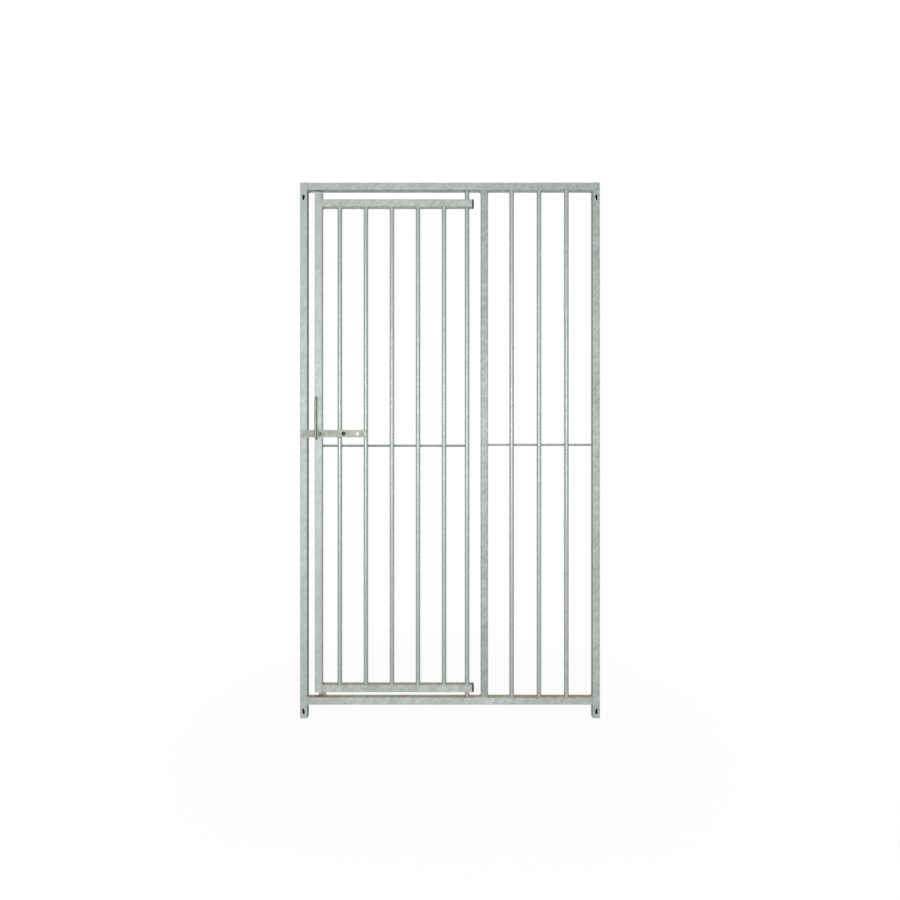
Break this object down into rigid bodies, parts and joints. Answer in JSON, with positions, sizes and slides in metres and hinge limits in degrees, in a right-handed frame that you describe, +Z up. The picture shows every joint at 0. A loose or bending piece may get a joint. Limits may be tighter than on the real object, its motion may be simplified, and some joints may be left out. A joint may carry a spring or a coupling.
{
  "type": "barred kennel panel with door",
  "caption": "Upright galvanised steel panel: a square-tube frame with round bars, a barred door that turns on its own last bar, and a lifting bar latch.",
  "frame": {"origin": "on the floor, at the middle of the panel's width and of its whole depth", "axes": "+Z up, +X to the right as seen from the front, +Y away from the viewer; the latch side faces -Y"},
  "size_m": [1.03, 0.06, 1.84],
  "materials": {
    "galvanised_steel": "hot-dip galvanised",
    "plated_steel": "zinc plated",
    "black_plastic": "moulded"
  },
  "bodies": {
    "frame": {"left_post": "galvanised_steel", "right_post": "galvanised_steel", "top_rail": "galvanised_steel", "bottom_rail": "galvanised_steel", "mullion": "galvanised_steel", "fixed_bar_1": "galvanised_steel", "fixed_bar_2": "galvanised_steel", "fixed_bar_3": "galvanised_steel", "fixed_cross_rod": "galvanised_steel", "door_stop": "galvanised_steel"},
    "door": {"door_stile": "galvanised_steel", "door_top_rail": "galvanised_steel", "door_bottom_rail": "galvanised_steel", "door_bar_1": "galvanised_steel", "door_bar_2": "galvanised_steel", "door_bar_3": "galvanised_steel", "door_bar_4": "galvanised_steel", "door_bar_5": "galvanised_steel", "hinge_bar": "galvanised_steel", "door_cross_rod": "galvanised_steel", "top_rail_plug": "black_plastic", "bottom_rail_plug": "black_plastic", "latch_back_plate": "galvanised_steel", "latch_staple": "galvanised_steel", "latch_pivot_bolt": "plated_steel", "latch_washer": "plated_steel", "latch_nut": "plated_steel"},
    "latch": {"latch_bar": "galvanised_steel", "latch_knob": "galvanised_steel"}
  },
  "joints": [
    {"name": "door_hinge", "type": "hinge", "parent": "frame", "child": "door", "pos_m": [0.059, 0.01215, 0.5], "axis": [0, 0, 1], "range_deg": [0, 145]},
    {"name": "latch_pivot", "type": "hinge", "parent": "door", "child": "latch", "pos_m": [-0.3165, -0.00315, 0.9775], "axis": [0, 1, 0], "range_deg": [0, 33]}
  ]
}
